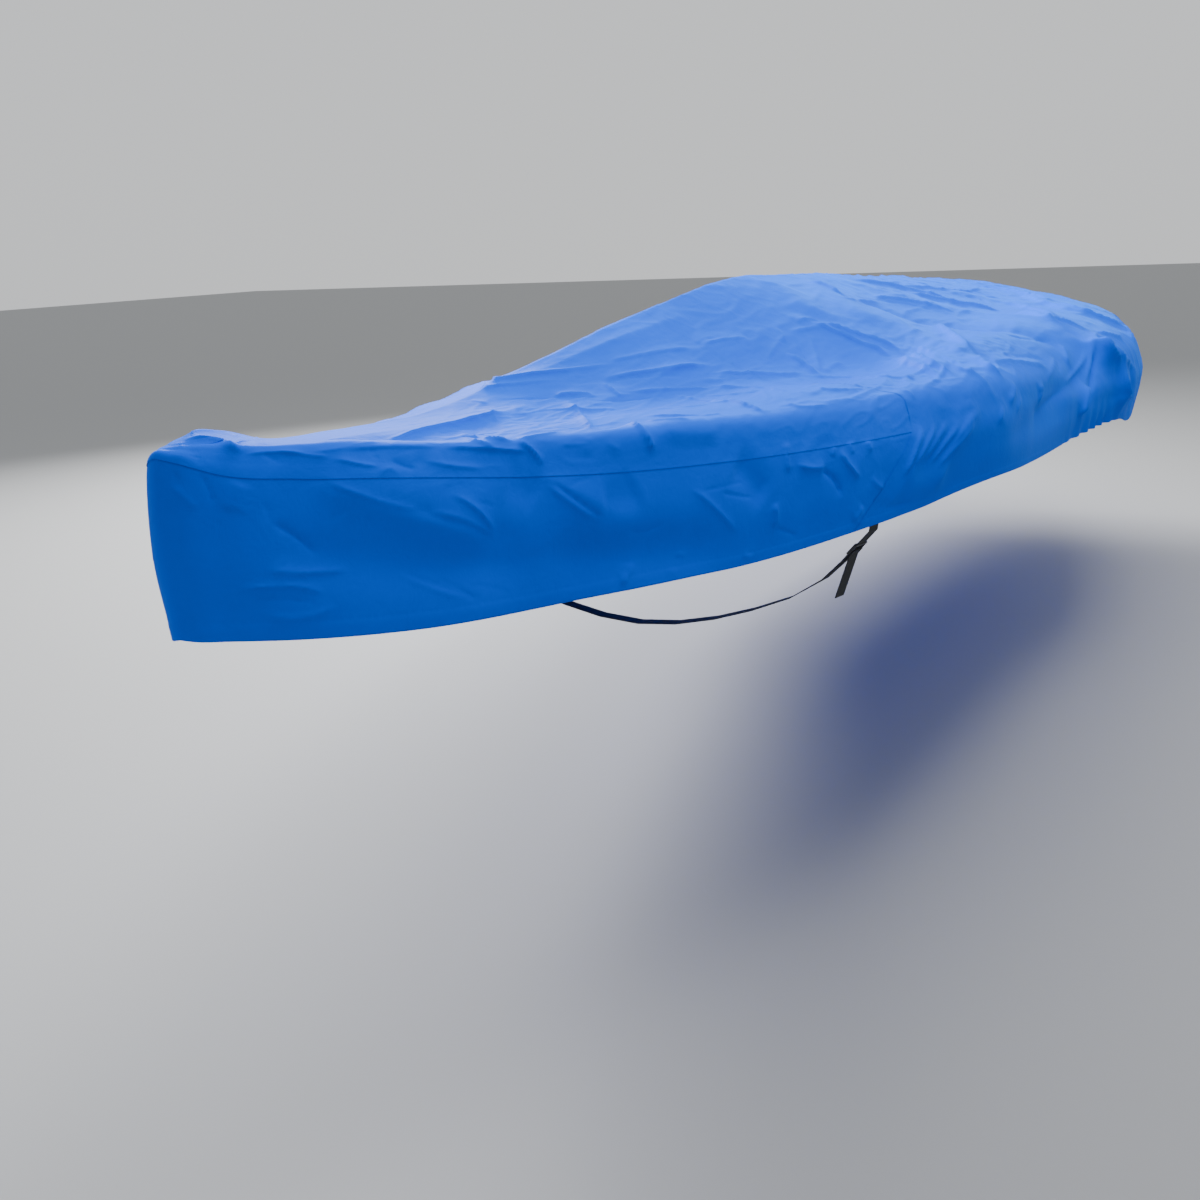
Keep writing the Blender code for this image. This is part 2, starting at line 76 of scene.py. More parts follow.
SECTIONS = (
    Section(0.010, 0.000, 0.002, -0.003, -0.190, 0.013, 0.50, 0.005, 0.055, 0.010),
    Section(0.018, 0.018, 0.001, -0.008, -0.192, 0.011, 0.50, 0.006, 0.065, 0.012),
    Section(0.050, 0.042, -0.004, -0.024, -0.198, 0.008, 0.50, 0.000, 0.100, 0.006),
    Section(0.120, 0.075, -0.016, -0.040, -0.212, 0.000, 0.50, -0.012, 0.160, -0.012),
    Section(0.250, 0.125, -0.034, -0.062, -0.236, -0.004, 0.50, -0.028, 0.280, -0.021),
    Section(0.500, 0.215, -0.062, -0.102, -0.264, -0.005, 0.50, -0.046, 0.520, -0.024),
    Section(0.800, 0.335, -0.083, -0.131, -0.288, -0.002, 0.55, -0.062, 0.800, 0.008),
    Section(1.100, 0.450, -0.096, -0.148, -0.292, 0.000, 0.57, -0.066, 1.080, 0.042),
    Section(1.500, 0.580, -0.104, -0.160, -0.291, 0.008, 0.50, -0.078, 1.460, 0.082),
    Section(1.900, 0.650, -0.128, -0.178, -0.315, 0.016, 0.45, -0.052, 1.800, 0.097),
    Section(2.250, 0.690, -0.150, -0.200, -0.325, 0.012, 0.50, -0.044, 2.120, 0.088),
    Section(2.600, 0.765, -0.150, -0.215, -0.336, 0.010, 0.50, -0.050, 2.450, 0.076),
    Section(2.740, 0.779, -0.154, -0.219, -0.362, 0.010, 0.50, -0.054, 2.590, 0.068),
    Section(3.000, 0.795, -0.160, -0.225, -0.340, 0.018, 0.50, -0.060, 2.850, 0.052),
    Section(3.500, 0.755, -0.148, -0.215, -0.330, 0.040, 0.50, -0.060, 3.300, 0.030),
    Section(3.950, 0.675, -0.138, -0.205, -0.315, 0.050, 0.50, -0.062, 3.620, 0.014),
    Section(4.150, 0.590, -0.138, -0.200, -0.310, 0.044, 0.50, -0.060, 3.760, 0.004),
    Section(4.215, 0.510, -0.124, -0.200, -0.310, 0.036, 0.50, -0.054, 3.840, 0.001),
    Section(4.240, 0.270, -0.060, -0.170, -0.300, 0.030, 0.50, -0.026, 3.950, -0.003),
    Section(4.245, 0.000, -0.038, -0.160, -0.300, 0.030, 0.50, -0.012, 4.000, -0.006),
)

Fold = namedtuple("Fold", "start end width height")

FOLDS = (
    # bow deck and the rise to the ridge, port
    Fold((0.14, -0.070, -0.023), (0.60, -0.080, -0.040), 0.024, 0.010),
    Fold((0.70, -0.020, -0.012), (1.27, -0.040, 0.038), 0.028, 0.008),
    Fold((0.65, -0.120, -0.050), (1.44, -0.140, 0.000), 0.032, 0.009),
    # pulled from the ridge to the port gunwale
    Fold((1.64, -0.180, 0.000), (1.52, -0.520, -0.095), 0.038, 0.013),
    Fold((2.10, -0.220, 0.000), (1.62, -0.560, -0.105), 0.038, 0.011),
    Fold((2.10, -0.190, 0.015), (2.32, -0.610, -0.105), 0.050, -0.015),
    Fold((2.40, -0.080, 0.050), (2.60, -0.680, -0.115), 0.050, 0.013),
    Fold((3.00, -0.100, 0.030), (3.35, -0.700, -0.130), 0.060, 0.012),
    Fold((3.50, -0.150, 0.000), (3.95, -0.580, -0.120), 0.060, -0.012),
    # the peak over the port gunwale, its pleat and the trough ahead of it
    Fold((2.47, -0.680, -0.128), (2.53, -0.735, -0.150), 0.040, 0.034),
    Fold((2.58, -0.750, -0.150), (2.52, -0.765, -0.330), 0.036, 0.020),
    Fold((2.42, -0.720, -0.160), (1.80, -0.640, -0.210), 0.045, -0.018),
    Fold((2.78, -0.790, -0.180), (2.72, -0.790, -0.330), 0.045, -0.012),
    # skirt and side, port
    Fold((0.18, -0.104, -0.070), (0.38, -0.180, -0.160), 0.030, -0.007),
    Fold((0.44, -0.194, -0.100), (0.56, -0.240, -0.175), 0.028, 0.006),
    Fold((1.25, -0.505, -0.150), (1.13, -0.465, -0.260), 0.028, 0.007),
    Fold((1.42, -0.560, -0.140), (1.24, -0.505, -0.270), 0.030, 0.007),
    # starboard
    Fold((1.60, 0.140, 0.010), (1.85, 0.480, -0.110), 0.045, 0.009),
    Fold((1.95, 0.180, 0.010), (2.05, 0.640, -0.150), 0.050, -0.012),
    Fold((2.35, 0.120, 0.040), (2.60, 0.700, -0.150), 0.055, 0.013),
    Fold((2.95, 0.150, 0.010), (3.40, 0.700, -0.150), 0.055, -0.012),
    Fold((3.40, 0.150, 0.005), (3.90, 0.620, -0.140), 0.055, 0.010),
    Fold((2.10, 0.690, -0.180), (2.00, 0.665, -0.320), 0.035, 0.012),
    Fold((2.85, 0.795, -0.190), (2.90, 0.790, -0.345), 0.040, -0.012),
    Fold((3.60, 0.745, -0.180), (3.55, 0.720, -0.330), 0.040, 0.012),
    Fold((0.55, 0.235, -0.120), (0.80, 0.335, -0.220), 0.032, -0.007),
    # transom
    Fold((4.12, -0.560, -0.120), (4.19, -0.540, -0.300), 0.035, 0.016),
    Fold((4.24, -0.230, -0.080), (4.23, -0.180, -0.290), 0.040, -0.012),
    Fold((4.24, 0.120, -0.070), (4.23, 0.180, -0.290), 0.040, 0.012),
    Fold((4.14, 0.560, -0.140), (4.19, 0.540, -0.310), 0.035, 0.014),
)

# ---------------------------------------------------------------- creases
# A crease runs through three marks on the photograph, u across and v down, from
# left to right.  Width is judged as it looks there, in steps of WIDTH_STEP pixels,
# and height is millimetres for a crease EVEN_WIDTH wide on the cloth, so that it
# sets how steep the crease is; height < 0 is a trough.  lean > 0 makes the side
# below the line the steep one.
Crease = namedtuple("Crease", "u0 v0 u1 v1 u2 v2 width height lean")
WIDTH_STEP = 0.50
EVEN_WIDTH = 0.012
NARROWEST, WIDEST = 0.0035, 0.045       # of any crease, on the cloth
BROAD = 17                              # from this width on a crease is round and broad
BROAD_HEIGHT, BROAD_SPREAD = 0.60, 1.4  # shares of the height and width it would have
FACE_ON = 1.7                           # a crisp crease is at most this much wider than face-on
TALLEST = 0.017                         # no crease stands higher than this

CREASES = (
    # nose and bow deck: the dark cheek, the scalloped edge and the crisp creases
    Crease(180, 442, 180, 452, 177, 464, 10, 4, 0.0),
    Crease(190, 448, 196, 457, 203, 466, 14, -3, 0.0),
    Crease(182, 441, 222, 446, 243, 456, 14, 7, 0.5),
    Crease(243, 456, 268, 453, 305, 454, 10, 5, 0.5),
    Crease(262, 453, 272, 459, 279, 465, 10, -6, 0.0),
    Crease(270, 452, 300, 455, 331, 459, 8, 5, 0.6),
    Crease(331, 459, 352, 465, 375, 468, 7, 8, 0.4),
    Crease(305, 453, 345, 450, 381, 444, 6, 5, 0.5),
    Crease(381, 444, 440, 430, 508, 410, 14, 7, 0.6),
    Crease(338, 453, 385, 449, 440, 448, 8, 7, 0.7),
    Crease(440, 448, 490, 449, 531, 452, 10, 7, 0.7),
    Crease(231, 434, 239, 442, 247, 449, 5, 5, 0.4),
    Crease(253, 437, 258, 442, 264, 447, 5, 5, 0.4),
    Crease(366, 449, 372, 457, 376, 466, 8, -5, 0.0),
    Crease(376, 478, 384, 469, 394, 477, 8, 6, 0.0),
    Crease(388, 460, 398, 466, 414, 470, 14, -5, 0.0),
    Crease(420, 460, 450, 466, 486, 468, 12, 4, 0.3),
    Crease(458, 434, 480, 439, 514, 441, 7, 9, 0.6),
    Crease(514, 441, 531, 450, 543, 467, 8, 10, 0.5),
    Crease(460, 437, 478, 443, 496, 449, 6, 8, 0.6),
    Crease(515, 440, 540, 436, 563, 432, 8, 5, 0.3),
    Crease(565, 400, 579, 416, 596, 432, 8, 9, -0.4),
    Crease(505, 423, 545, 426, 593, 431, 5, -5, 0.0),
    Crease(594, 431, 614, 428, 628, 424, 5, -4, 0.0),
    Crease(627, 424, 643, 434, 652, 457, 8, 10, 0.6),
    Crease(655, 430, 690, 432, 720, 430, 20, 5, 0.5),
    Crease(607, 440, 612, 446, 620, 450, 6, 4, 0.0),
    Crease(560, 444, 575, 445, 590, 443, 6, 4, 0.3),
    Crease(590, 436, 588, 446, 586, 458, 8, 3, 0.0),
    Crease(478, 409, 490, 413, 496, 424, 6, 6, 0.5),
    Crease(470, 400, 480, 402, 490, 404, 5, 4, 0.3),
    Crease(440, 402, 446, 406, 450, 411, 5, 4, 0.3),
    Crease(466, 431, 475, 434, 486, 433, 5, -5, 0.0),
    Crease(600, 384, 611, 391, 621, 399, 6, 7, 0.5),
    Crease(498, 401, 553, 398, 603, 399, 7, -6, 0.0),
    Crease(553, 397, 576, 395, 598, 397, 8, 6, 0.3),
    Crease(584, 402, 625, 401, 671, 396, 7, -5, 0.0),
    Crease(470, 392, 505, 388, 545, 384, 6, -5, 0.0),
    Crease(485, 385, 553, 373, 644, 364, 14, 7, 0.4),
    Crease(500, 379, 560, 370, 640, 360, 6, -4, 0.0),
    Crease(473, 391, 540, 383, 596, 380, 10, 7, 0.4),
    Crease(596, 381, 650, 374, 709, 367, 12, 6, 0.4),
    Crease(599, 384, 642, 379, 690, 378, 6, -4, 0.0),
    Crease(627, 394, 689, 391, 720, 390, 8, 6, 0.4),
    Crease(671, 396, 699, 401, 732, 403, 7, 5, 0.5),
    Crease(642, 417, 675, 418, 709, 417, 7, 5, 0.3),
    Crease(642, 423, 665, 423, 692, 422, 7, 5, 0.3),
    Crease(645, 411, 685, 409, 712, 404, 6, 4, 0.3),
    Crease(540, 409, 580, 411, 620, 410, 7, 4, 0.3),
    Crease(545, 417, 575, 418, 600, 420, 5, -2, 0.0),
    # side deck, port: the fine network beside the ridge's foot
    Crease(700, 375, 733, 376, 816, 374, 8, 6, 0.4),
    Crease(700, 379, 740, 381, 776, 377, 5, -4, 0.0),
    Crease(700, 389, 760, 390, 798, 394, 7, 5, 0.4),
    Crease(700, 384, 722, 382, 740, 378, 6, 4, 0.4),
    Crease(771, 377, 793, 378, 808, 384, 5, -5, 0.0),
    Crease(790, 376, 850, 378, 930, 378, 7, 5, 0.4),
    Crease(800, 381, 850, 384, 920, 386, 5, -4, 0.0),
    Crease(814, 388, 836, 391, 872, 389, 7, 5, 0.4),
    Crease(879, 381, 910, 382, 950, 383, 5, -4, 0.0),
    Crease(700, 404, 716, 404, 736, 401, 6, 4, 0.3),
    Crease(728, 401, 745, 406, 768, 414, 7, 8, 0.5),
    Crease(700, 397, 735, 396, 762, 391, 6, 5, 0.3),
    Crease(762, 391, 766, 396, 772, 399, 5, 4, 0.0),
    Crease(700, 417, 708, 417, 722, 415, 7, 4, 0.3),
    Crease(823, 383, 860, 387, 900, 391, 5, -3, 0.0),
    Crease(900, 391, 909, 394, 914, 401, 5, 5, 0.3),
    Crease(780, 400, 800, 407, 830, 405, 8, 4, 0.4),
    Crease(738, 376, 755, 370, 765, 363, 8, 5, 0.3),
    Crease(823, 374, 836, 365, 849, 366, 8, 4, 0.3),
    # flank of the ridge: the star of creases and the long pulls to the gunwale
    Crease(765, 363, 774, 349, 786, 334, 8, 6, 0.3),
    Crease(771, 327, 779, 334, 786, 345, 7, 4, 0.3),
    Crease(786, 334, 805, 330, 834, 327, 8, 5, 0.3),
    Crease(784, 352, 800, 364, 819, 377, 8, 9, 0.5),
    Crease(808, 333, 813, 352, 819, 374, 8, 6, 0.4),
    Crease(795, 338, 804, 354, 812, 368, 12, -5, 0.0),
    Crease(700, 348, 722, 341, 750, 338, 8, 6, 0.4),
    Crease(700, 343, 715, 339, 740, 338, 5, -3, 0.0),
    Crease(600, 366, 650, 356, 700, 349, 10, 5, 0.4),
    Crease(766, 280, 788, 296, 816, 319, 34, 8, 0.2),
    Crease(796, 324, 806, 320, 822, 324, 7, 5, 0.4),
    Crease(806, 321, 850, 342, 893, 359, 10, 9, 0.5),
    Crease(893, 359, 920, 369, 943, 381, 9, 9, 0.5),
    Crease(815, 322, 858, 337, 905, 353, 10, 8, 0.5),
    Crease(905, 353, 935, 369, 962, 381, 9, 10, 0.5),
    Crease(898, 345, 935, 357, 975, 377, 10, 6, 0.4),
    Crease(813, 322, 860, 341, 915, 361, 5, -4, 0.0),
    Crease(818, 283, 850, 308, 884, 330, 24, 6, 0.2),
    Crease(806, 283, 819, 288, 838, 298, 8, 7, 0.5),
    Crease(838, 299, 850, 303, 879, 301, 7, 4, 0.4),
    Crease(852, 299, 905, 304, 945, 316, 6, -3, 0.0),
    Crease(945, 316, 975, 327, 1000, 333, 6, -3, 0.0),
    Crease(870, 297, 915, 303, 960, 315, 8, 6, 0.4),
    Crease(921, 319, 952, 337, 976, 359, 10, 9, 0.4),
    Crease(976, 359, 986, 369, 1003, 377, 9, 9, 0.5),
    Crease(960, 340, 978, 355, 992, 375, 9, -3, 0.0),
    Crease(846, 279, 899, 290, 960, 302, 9, 6, 0.3),
    Crease(871, 283, 915, 291, 960, 299, 6, -4, 0.0),
    Crease(880, 285, 930, 290, 985, 293, 8, 5, 0.4),
    Crease(1000, 333, 1030, 340, 1058, 341, 7, -6, 0.0),
    Crease(900, 293, 955, 304, 1010, 312, 8, 8, 0.4),
    Crease(1010, 312, 1055, 321, 1094, 331, 9, 9, 0.4),
    Crease(913, 296, 953, 302, 1002, 309, 5, -5, 0.0),
    Crease(985, 299, 1025, 309, 1060, 320, 8, 8, 0.4),
    Crease(953, 284, 1010, 293, 1050, 304, 9, 7, 0.3),
    Crease(1050, 304, 1090, 317, 1125, 329, 9, 8, 0.4),
    Crease(1005, 291, 1045, 307, 1085, 322, 5, -4, 0.0),
    Crease(1020, 297, 1060, 309, 1100, 319, 8, 6, 0.3),
    Crease(925, 358, 955, 370, 989, 381, 9, 6, 0.4),
    Crease(990, 364, 1020, 363, 1050, 369, 12, 4, 0.5),
    Crease(1010, 357, 1035, 358, 1048, 364, 9, -4, 0.0),
    Crease(1055, 356, 1057, 366, 1062, 378, 6, -6, 0.3),
    Crease(1048, 380, 1052, 368, 1054, 357, 8, 6, 0.0),
    Crease(1058, 344, 1064, 352, 1067, 364, 10, 5, 0.3),
    # peak over the gunwale and the pleats below it
    Crease(1092, 335, 1084, 360, 1066, 388, 22, -13, 0.0),
    Crease(1066, 388, 1046, 408, 1004, 430, 30, -9, 0.0),
    Crease(1090, 340, 1082, 363, 1062, 384, 8, 9, 0.3),
    Crease(1094, 332, 1093, 353, 1086, 384, 8, 14, 0.0),
    Crease(1086, 384, 1082, 402, 1077, 417, 8, 12, 0.0),
    Crease(1098, 342, 1094, 375, 1087, 412, 14, -9, 0.0),
    Crease(1094, 332, 1118, 352, 1138, 376, 7, 9, 0.3),
    Crease(1095, 332, 1108, 336, 1122, 340, 7, 8, 0.3),
    Crease(1100, 338, 1112, 352, 1122, 362, 8, 9, 0.3),
    Crease(1121, 364, 1127, 384, 1128, 405, 9, 9, 0.2),
    Crease(1108, 352, 1113, 378, 1112, 408, 20, -2, 0.0),
    Crease(1112, 322, 1124, 329, 1133, 345, 7, 7, 0.3),
    # side below the gunwale
    Crease(1012, 382, 1013, 392, 1008, 404, 7, 7, 0.0),
    Crease(1001, 396, 1006, 404, 1008, 414, 5, -3, 0.0),
    Crease(1040, 391, 1044, 388, 1042, 402, 6, 7, 0.0),
    Crease(1023, 398, 1020, 405, 1018, 413, 6, 5, 0.0),
    Crease(980, 410, 966, 425, 950, 446, 8, 8, 0.3),
    Crease(976, 421, 955, 446, 932, 468, 8, 8, 0.3),
    Crease(962, 421, 944, 444, 924, 466, 7, 7, 0.3),
    Crease(948, 422, 934, 443, 920, 462, 7, 7, 0.3),
    Crease(936, 424, 925, 446, 912, 466, 7, 7, 0.3),
    Crease(922, 426, 914, 452, 902, 478, 8, 9, 0.3),
    Crease(969, 420, 952, 440, 936, 458, 6, -7, 0.0),
    Crease(955, 424, 940, 444, 922, 466, 6, -7, 0.0),
    Crease(929, 426, 919, 452, 905, 478, 6, -7, 0.0),
    Crease(1002, 408, 1000, 416, 999, 424, 7, 5, 0.3),
    Crease(900, 490, 920, 484, 950, 470, 22, 5, 0.0),
    Crease(868, 497, 890, 506, 915, 497, 14, -4, 0.0),
    # skirt: the long diagonal, the dark hollow below it and the flare at the hem
    Crease(303, 476, 385, 505, 500, 540, 46, 9, 0.6),
    Crease(320, 480, 362, 498, 420, 512, 9, 6, 0.7),
    Crease(420, 512, 462, 521, 502, 540, 9, 6, 0.7),
    Crease(250, 548, 400, 564, 560, 562, 44, -9, 0.0),
    Crease(520, 560, 620, 554, 740, 545, 38, -9, 0.0),
    Crease(446, 494, 475, 511, 499, 537, 8, 7, 0.6),
    Crease(549, 478, 572, 496, 608, 521, 7, -10, 0.0),
    Crease(545, 482, 568, 501, 598, 521, 8, 5, 0.0),
    Crease(470, 502, 484, 504, 496, 508, 5, -6, 0.0),
    Crease(568, 488, 579, 481, 592, 479, 6, -5, 0.0),
    Crease(268, 522, 298, 537, 322, 559, 16, -8, 0.0),
    Crease(358, 502, 343, 511, 322, 523, 7, -4, 0.0),
    Crease(232, 592, 288, 586, 328, 596, 8, 8, 0.3),
    Crease(245, 601, 285, 600, 320, 604, 8, -7, 0.0),
    Crease(258, 612, 298, 618, 336, 604, 10, 6, 0.0),
    Crease(262, 570, 310, 573, 357, 571, 14, 5, 0.3),
    Crease(398, 571, 440, 586, 484, 600, 6, -6, 0.0),
    Crease(438, 579, 462, 590, 488, 605, 6, -6, 0.0),
    Crease(400, 575, 436, 590, 470, 600, 8, 4, 0.0),
    Crease(470, 588, 490, 588, 512, 594, 6, -4, 0.0),
    Crease(164, 463, 162, 468, 160, 474, 6, -6, 0.0),
    Crease(170, 484, 182, 496, 198, 511, 9, 5, 0.3),
    Crease(199, 472, 208, 488, 215, 508, 9, -8, 0.0),
    Crease(172, 470, 177, 479, 178, 490, 12, -6, 0.0),
    Crease(241, 480, 236, 496, 230, 514, 18, 4, 0.0),
    Crease(262, 500, 268, 514, 268, 524, 12, -4, 0.0),
    Crease(505, 480, 520, 486, 540, 500, 26, -4, 0.0),
    Crease(600, 505, 620, 500, 640, 486, 26, -5, 0.0),
    Crease(630, 530, 648, 533, 664, 522, 14, -4, 0.0),
    Crease(681, 560, 685, 555, 690, 560, 7, 5, 0.0),
    Crease(620, 584, 632, 572, 634, 562, 12, 4, 0.0),
    Crease(668, 570, 674, 573, 680, 576, 6, 4, 0.0),
    Crease(697, 493, 720, 487, 748, 482, 7, -5, 0.0),
    Crease(718, 492, 738, 496, 758, 498, 7, -7, 0.0),
    Crease(688, 488, 712, 506, 738, 534, 12, 4, 0.3),
    Crease(733, 461, 746, 474, 768, 500, 20, -7, 0.0),
    Crease(773, 503, 775, 515, 773, 528, 7, 7, 0.0),
    Crease(774, 528, 785, 531, 798, 537, 7, -8, 0.0),
    Crease(742, 553, 748, 557, 751, 561, 6, 5, 0.0),
    Crease(787, 441, 786, 457, 789, 474, 7, 6, 0.0),
    Crease(795, 464, 810, 468, 826, 466, 16, 5, 0.4),
    Crease(820, 470, 834, 480, 842, 498, 16, -7, 0.0),
    Crease(838, 448, 846, 463, 860, 479, 10, 6, 0.3),
    Crease(833, 446, 833, 451, 832, 457, 6, 5, 0.0),
    Crease(848, 442, 850, 448, 853, 454, 6, 4, 0.0),
    Crease(866, 440, 868, 446, 871, 452, 7, 5, 0.0),
    Crease(871, 476, 876, 484, 884, 488, 8, 4, 0.0),
    Crease(852, 522, 858, 512, 862, 505, 9, 4, 0.0),
)
CREASE_STEPS = 11           # points along each crease
BODY_SHARE = 0.55           # of a crease's height; the rest is the narrow crest on it
CREST_SHARE = 0.30          # the crest's share of the crease's width
TROUGH_SHARE = 0.55         # a narrow trough is thinner than a ridge
CRISP = 0.06                # rounding of a crest, as a share of its width
CREASE_FADE = 0.25          # share of its length over which an end fades
CREASE_REACH = 6            # widths from a crease where its push has died away
LEAN = 0.7                  # how much a crease that leans fully is narrowed on its steep side
MARK_STEP = 2               # pixels to each side of a crease for measuring across it

# ---------------------------------------------------------------- camera
# The camera stands ahead of the bow on the port side, a little above the bow's
# top.  Its picture is 1200 pixels square and its axis meets it above the middle.
PICTURE = 1200
FOCAL_PIXELS = 1200.0
AXIS_U, AXIS_V = 600.0, 353.0
SENSOR_MM = 36.0
CAMERA_AT = Vector((-0.8373, -0.8928, 0.1816))
CAMERA_RIGHT = Vector((0.4312, -0.9012, -0.0437))
CAMERA_UP = Vector((0.0994, -0.0007, 0.9950))
CAMERA_AHEAD = Vector((0.8968, 0.4334, -0.0893))


# ---------------------------------------------------------------- surface
def hermite(knots, values, at):
    """Smooth curve through values at knots, read at the places in at."""
    slopes = np.gradient(values, knots, axis=0)
    index = np.clip(np.searchsorted(knots, at, side="right") - 1, 0, len(knots) - 2)
    span = knots[index + 1] - knots[index]
    f = (at - knots[index]) / span
    shape = (-1,) + (1,) * (values.ndim - 1)
    f = f.reshape(shape)
    span = span.reshape(shape)
    return ((2 * f**3 - 3 * f**2 + 1) * values[index]
            + (f**3 - 2 * f**2 + f) * span * slopes[index]
            + (3 * f**2 - 2 * f**3) * values[index + 1]
            + (f**3 - f**2) * span * slopes[index + 1])


def mirrored_sections():
    """The sections with one more beyond each end, mirrored in the centre line."""
    rows = np.array(SECTIONS)
    beyond = rows[[1, -2]].copy()
    beyond[:, 1] *= -1
    return np.vstack((beyond[:1], rows, beyond[1:]))


TABLE = mirrored_sections()
STEP_LENGTHS = np.hypot(np.diff(TABLE[:, 0]), np.diff(TABLE[:, 1]))
ALONG = np.concatenate(([0.0], np.cumsum(STEP_LENGTHS))) - STEP_LENGTHS[0]
EDGE_LENGTH = ALONG[-2]


def rib_points(side, along):
    """The seven named points of each rib, as an array (ribs, 7, 3)."""
    row = Section(*hermite(ALONG, TABLE, along).T)
    drop = STARBOARD_DROP * (side == STARBOARD) * np.clip(row.edge_y / DROP_OVER, 0, 1)
    edge = np.stack((row.edge_x, row.edge_y), axis=1)
    inward = np.stack((row.ridge_x - row.edge_x, -row.edge_y), axis=1)
    reach = np.linalg.norm(inward, axis=1)
    unit = inward / reach[:, None]

    def point(distance, height):
        plan = edge + unit * np.asarray(distance)[:, None]
        return np.column_stack((plan[:, 0], side * plan[:, 1], height))

    zero = np.zeros_like(reach)
    soft = np.clip((row.edge_x - SOFT_EDGE_FROM) / SOFT_EDGE_OVER, 0, 1)
    shoulder_z = row.edge_z + SHOULDER_RISE * (row.valley_z - row.edge_z)
    belly_z = (row.seam_z + row.hem_z) / 2
    return np.stack((
        point(row.hem_in, row.hem_z - drop),
        point(row.hem_in / 2 - SKIRT_BELLY, belly_z - drop),
        point(zero, row.seam_z - drop),
        point(zero + EDGE_ROUND + SOFT_EDGE_IN * soft, row.edge_z - drop - SOFT_EDGE_DOWN * soft),
        point(EDGE_ROUND + reach * SHOULDER_REACH, shoulder_z - drop),
        point(reach * row.valley, row.valley_z - drop / 2),
        point(reach, row.ridge_z),
    ), axis=1)


UP_THE_RIB = np.array((AT_HEM, AT_BELLY, AT_SEAM, AT_EDGE, AT_SHOULDER, AT_VALLEY, AT_RIDGE))


def plain_surface(side, along, up):
    """Points of the unfolded cloth for matching arrays of places along and up."""
    named = rib_points(side, along)
    points = np.empty((len(along), 3))
    for height in np.unique(up):
        here = up == height
        ribs = np.swapaxes(named[here], 0, 1)
        points[here] = hermite(UP_THE_RIB, ribs, np.array([height]))[0]
    return points


def fold_height(points):
    """How far the folds push the cloth out at each point."""
    total = np.zeros(len(points))
    for fold in FOLDS:
        start = np.array(fold.start)
        run = np.array(fold.end) - start
        share = np.clip((points - start) @ run / (run @ run), 0, 1)
        distance = np.linalg.norm(points - start - share[:, None] * run, axis=1)
        fade = np.sin(np.pi * (FOLD_END + (1 - 2 * FOLD_END) * share))
        total += fold.height * fade * np.exp(-(distance / fold.width) ** FOLD_POWER)
    return total


def surface_and_normal(side, along, up):
    """The plain cloth's points with the direction out of the cloth at each."""
    points = plain_surface(side, along, up)
    ahead = plain_surface(side, along + NUDGE, up) - plain_surface(side, along - NUDGE, up)
    past_ridge = up + NUDGE > AT_RIDGE
    above = plain_surface(side, along, np.where(past_ridge, 2 * AT_RIDGE - up - NUDGE, up + NUDGE))
    above[past_ridge, 1] *= -1
    below = plain_surface(side, along, up - NUDGE)
    normal = np.cross(ahead, above - below) * -side
    normal /= np.maximum(np.linalg.norm(normal, axis=1, keepdims=True), SMALLEST)
    return points, normal


RIDGE_AT_MOUNT = plain_surface(
    PORT, np.array([np.interp(MOUNT_X, TABLE[:, 8], ALONG)]), np.array([AT_RIDGE]))[0][2]
ORIGIN = np.array((MOUNT_X, 0.0, RIDGE_AT_MOUNT - SHEET / 2))


def cross_seam(up):
    """How far along the edge the cross seam lies at each height of a rib."""
    return np.interp(up, (AT_HEM, AT_SEAM, AT_EDGE), (SEAM_FOOT, SEAM_MIDDLE, SEAM_TOP))


# ---------------------------------------------------------------- marks to cloth
# points of the coarse mesh: along the edge, up the skirt, and over the rest of a rib
MARK_ALONG, MARK_SKIRT, MARK_TOP = 260, 14, 60


def view_ray(u, v):
    """The direction from the camera through a mark on the photograph."""
    across = (u - AXIS_U) / FOCAL_PIXELS
    up = (AXIS_V - v) / FOCAL_PIXELS
    return (CAMERA_AHEAD + CAMERA_RIGHT * across + CAMERA_UP * up).normalized()


def marking_tree():
    """The folded cloth as a coarse mesh that marks are carried onto."""
    along = np.linspace(0, EDGE_LENGTH, MARK_ALONG)
    skirt = np.linspace(AT_HEM, AT_SEAM, MARK_SKIRT)
    up = np.concatenate((skirt, np.linspace(AT_SEAM, AT_RIDGE, MARK_TOP)[1:]))
    verts, faces = [], []
    for side in (PORT, STARBOARD):
        grid_along, grid_up = np.meshgrid(along, up, indexing="ij")
        points, normal = surface_and_normal(side, grid_along.ravel(), grid_up.ravel())
        points = points + normal * fold_height(points)[:, None]
        base = len(verts)
        verts += [tuple(p) for p in points]
        n = len(up)
        faces += [
            (base + i * n + j, base + (i + 1) * n + j, base + (i + 1) * n + j + 1, base + i * n + j + 1)
            for i in range(len(along) - 1) for j in range(n - 1)]
    return BVHTree.FromPolygons(verts, faces)


def width_on_cloth(tree, crease, path):
    """How wide a crease is on the cloth, from how wide it looks across its middle."""
    run = Vector((crease.u2 - crease.u0, crease.v2 - crease.v0)).normalized()
    sides = []
    for step in (-MARK_STEP, MARK_STEP):
        ray = view_ray(crease.u1 - run.y * step, crease.v1 + run.x * step)
        hit = tree.ray_cast(CAMERA_AT, ray)[0]
        if hit is None:
            return EVEN_WIDTH / 2
        sides.append(hit)
    across = sides[1] - sides[0]
    along = Vector(path[-1] - path[0]).normalized()
    span = (across - along * across.dot(along)).length / (2 * MARK_STEP)
    if crease.width < BROAD:
        span = min(span, FACE_ON * (sides[0] - CAMERA_AT).length / FOCAL_PIXELS)
    return float(np.clip(crease.width * WIDTH_STEP * span, NARROWEST, WIDEST))


